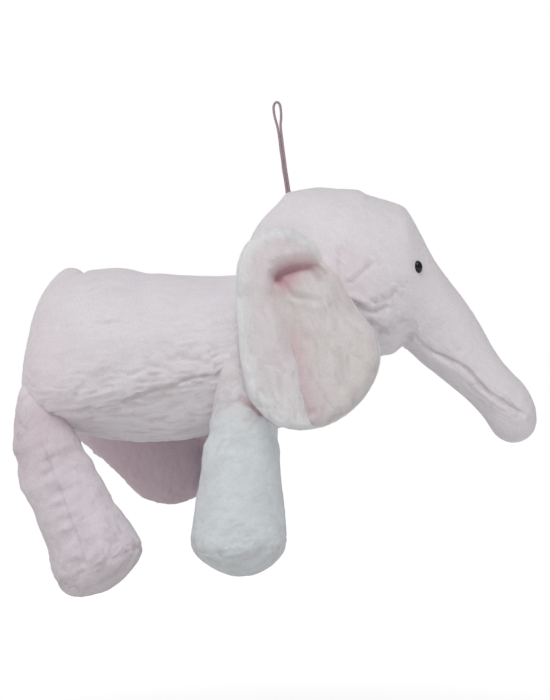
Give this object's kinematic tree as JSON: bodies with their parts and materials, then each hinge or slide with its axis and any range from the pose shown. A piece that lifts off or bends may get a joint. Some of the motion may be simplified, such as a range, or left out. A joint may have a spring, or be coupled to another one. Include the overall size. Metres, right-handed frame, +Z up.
{
  "type": "stuffed elephant",
  "caption": "Soft stuffed elephant in pale pink pile fabric, with cupped ears, a long hanging trunk, bead eyes and a cord loop on its crown to hang it by.",
  "frame": {"origin": "top of the cord loop that the toy hangs from", "axes": "+X the way the elephant faces, +Z up, +Y towards its left side"},
  "size_m": [0.3696, 0.1973, 0.3501],
  "materials": {
    "plush_pale": "short matted pile",
    "plush_front_leg": "short matted pile",
    "plush_hind_leg": "short matted pile",
    "plush_ear_back": "short matted pile",
    "plush_ear_lining": "short pile lining",
    "plush_sole": "short matted pile",
    "stuffing": "loose polyester fibre",
    "loop_cord": "satin cord",
    "eye_black": "gloss",
    "washer_clear": "satin"
  },
  "bodies": {
    "head": {"head_panel_right": "plush_pale", "head_panel_left": "plush_pale", "head_stuffing": "stuffing", "eye_bead_right": "eye_black", "eye_bead_left": "eye_black", "eye_washer_right": "washer_clear", "eye_washer_left": "washer_clear", "hanging_loop": "loop_cord"},
    "trunk": {"trunk_panel_right": "plush_pale", "trunk_panel_left": "plush_pale", "trunk_under_panel": "plush_pale", "trunk_stuffing": "stuffing"},
    "torso": {"torso_panel_right": "plush_pale", "torso_panel_left": "plush_pale", "belly_panel": "plush_pale", "torso_stuffing": "stuffing"},
    "ear_right": {"ear_back_right": "plush_ear_back", "ear_lining_right": "plush_ear_lining"},
    "ear_left": {"ear_back_left": "plush_ear_back", "ear_lining_left": "plush_ear_lining"},
    "leg_front_right": {"leg_cover_front_right": "plush_front_leg", "leg_sole_front_right": "plush_sole", "leg_stuffing_front_right": "stuffing"},
    "leg_front_left": {"leg_cover_front_left": "plush_front_leg", "leg_sole_front_left": "plush_sole", "leg_stuffing_front_left": "stuffing"},
    "leg_hind_right": {"leg_cover_hind_right": "plush_hind_leg", "leg_sole_hind_right": "plush_sole", "leg_stuffing_hind_right": "stuffing"},
    "leg_hind_left": {"leg_cover_hind_left": "plush_hind_leg", "leg_sole_hind_left": "plush_sole", "leg_stuffing_hind_left": "stuffing"}
  },
  "joints": [
    {"name": "neck_nod", "type": "hinge", "parent": "head", "child": "torso", "pos_m": [-0.014, 0, -0.181], "axis": [0, 1, 0], "range_deg": [-10, 10], "stiffness_Nm_per_rad": 1.5, "springref_deg": 4.64},
    {"name": "trunk_bend", "type": "hinge", "parent": "head", "child": "trunk", "pos_m": [0.1108, 0, -0.1592], "axis": [0, -1, 0], "range_deg": [-15, 15], "stiffness_Nm_per_rad": 0.15, "springref_deg": 1.32},
    {"name": "ear_right_lift", "type": "hinge", "parent": "head", "child": "ear_right", "pos_m": [0, -0.0575, -0.107], "axis": [-1, 0, 0], "range_deg": [0, 35]},
    {"name": "ear_left_lift", "type": "hinge", "parent": "head", "child": "ear_left", "pos_m": [0, 0.0575, -0.107], "axis": [1, 0, 0], "range_deg": [0, 35]},
    {"name": "front_right_leg_swing", "type": "hinge", "parent": "torso", "child": "leg_front_right", "pos_m": [-0.026, -0.044, -0.2125], "axis": [0, -1, 0], "range_deg": [-20, 25], "stiffness_Nm_per_rad": 0.15},
    {"name": "front_left_leg_swing", "type": "hinge", "parent": "torso", "child": "leg_front_left", "pos_m": [-0.026, 0.044, -0.2125], "axis": [0, -1, 0], "range_deg": [-5, 25], "stiffness_Nm_per_rad": 0.15},
    {"name": "hind_right_leg_swing", "type": "hinge", "parent": "torso", "child": "leg_hind_right", "pos_m": [-0.16, -0.036, -0.2315], "axis": [0, -1, 0], "range_deg": [-25, 25], "stiffness_Nm_per_rad": 0.2, "springref_deg": 1.49},
    {"name": "hind_left_leg_swing", "type": "hinge", "parent": "torso", "child": "leg_hind_left", "pos_m": [-0.1575, 0.036, -0.2195], "axis": [0, -1, 0], "range_deg": [-45, 3], "stiffness_Nm_per_rad": 0.3, "springref_deg": 2.18}
  ]
}
